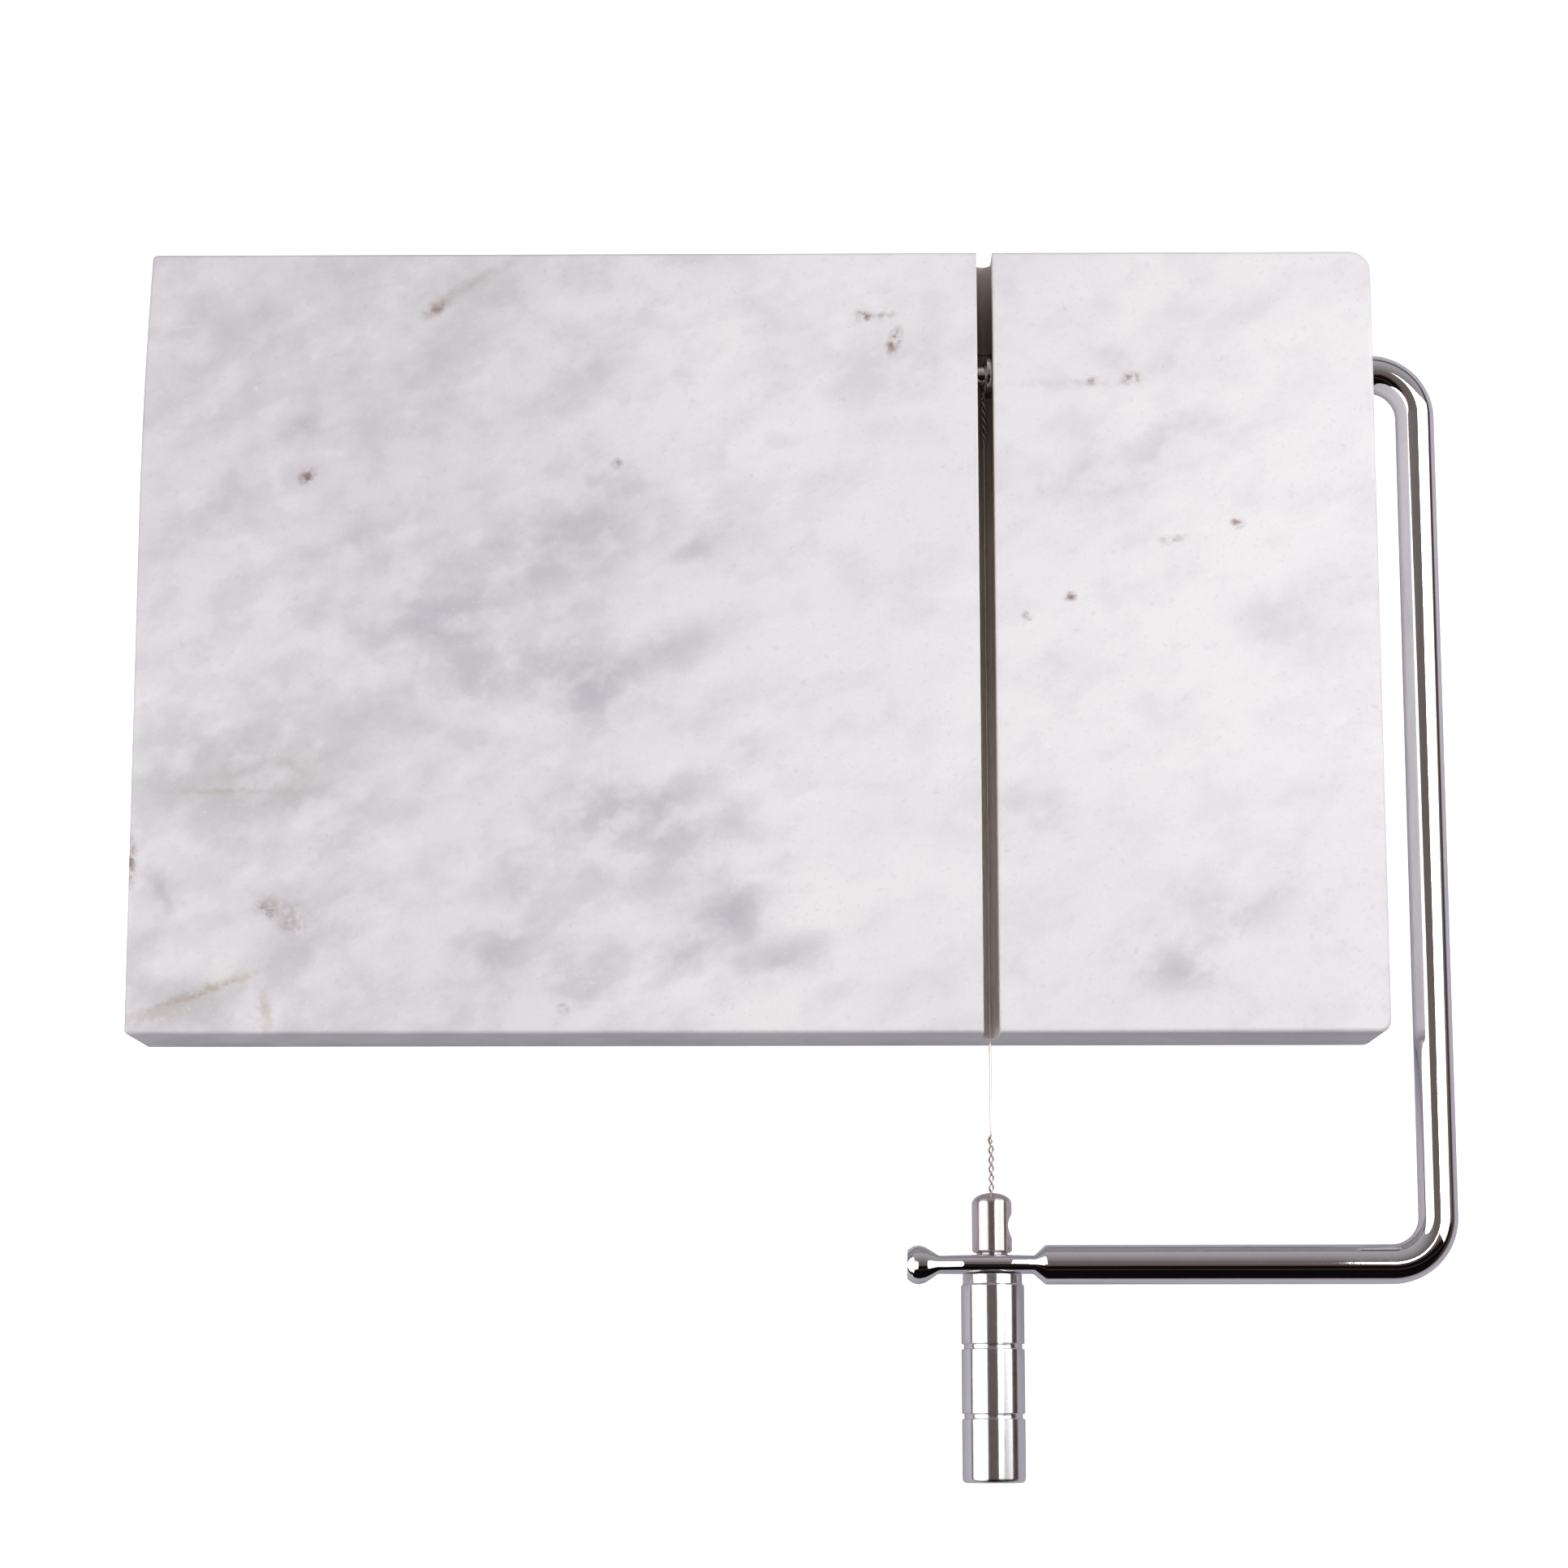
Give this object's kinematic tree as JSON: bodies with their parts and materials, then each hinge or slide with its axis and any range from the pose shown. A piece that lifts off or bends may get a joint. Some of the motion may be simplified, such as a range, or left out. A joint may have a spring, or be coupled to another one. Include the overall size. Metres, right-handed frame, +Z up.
{
  "type": "cheese wire cutter",
  "caption": "Marble cheese board with a sawn groove, a pivoting chromed rod bow, a taut cutting wire and a screw-tension handle.",
  "frame": {"origin": "middle of the whole object at rest, on the surface that the feet stand on", "axes": "+X towards the bow's side arm, along the board's long side; +Y away from the handle, along the groove and the wire; +Z up"},
  "size_m": [0.214, 0.201, 0.0225],
  "materials": {
    "marble": "honed white marble with soft lavender-grey clouding and small brown specks",
    "chrome": "bright chromium plate, mirror smooth",
    "turned_steel": "satin turned steel",
    "wire_steel": "bare drawn stainless wire",
    "rubber": "matt translucent white"
  },
  "bodies": {
    "board": {"marble_board": "marble", "foot_front_left": "rubber", "foot_front_right": "rubber", "foot_rear_left": "rubber", "foot_rear_right": "rubber"},
    "bow": {"bow_arm": "chrome", "cutting_wire": "wire_steel"},
    "handle": {"handle_grip": "chrome"},
    "tensioner": {"tension_screw": "turned_steel", "wire_anchor_barrel": "turned_steel"}
  },
  "joints": [
    {"name": "bow_pivot", "type": "hinge", "parent": "board", "child": "bow", "pos_m": [0.03214, 0.08148, 0.0148], "axis": [-1, 0, 0], "range_deg": [0, 180]},
    {"name": "handle_turn", "type": "hinge", "parent": "bow", "child": "handle", "pos_m": [0.03214, -0.08413, 0.0148], "axis": [0, -1, 0], "range_deg": [0, 1080]},
    {"name": "screw_travel", "type": "slide", "parent": "bow", "child": "tensioner", "axis": [0, 1, 0], "range_m": [0, 0.00241], "deforming": ["cutting_wire"]}
  ],
  "couplings": [
    {"joint": "screw_travel", "follows": "handle_turn", "m_per_rad": 0.00012732}
  ]
}
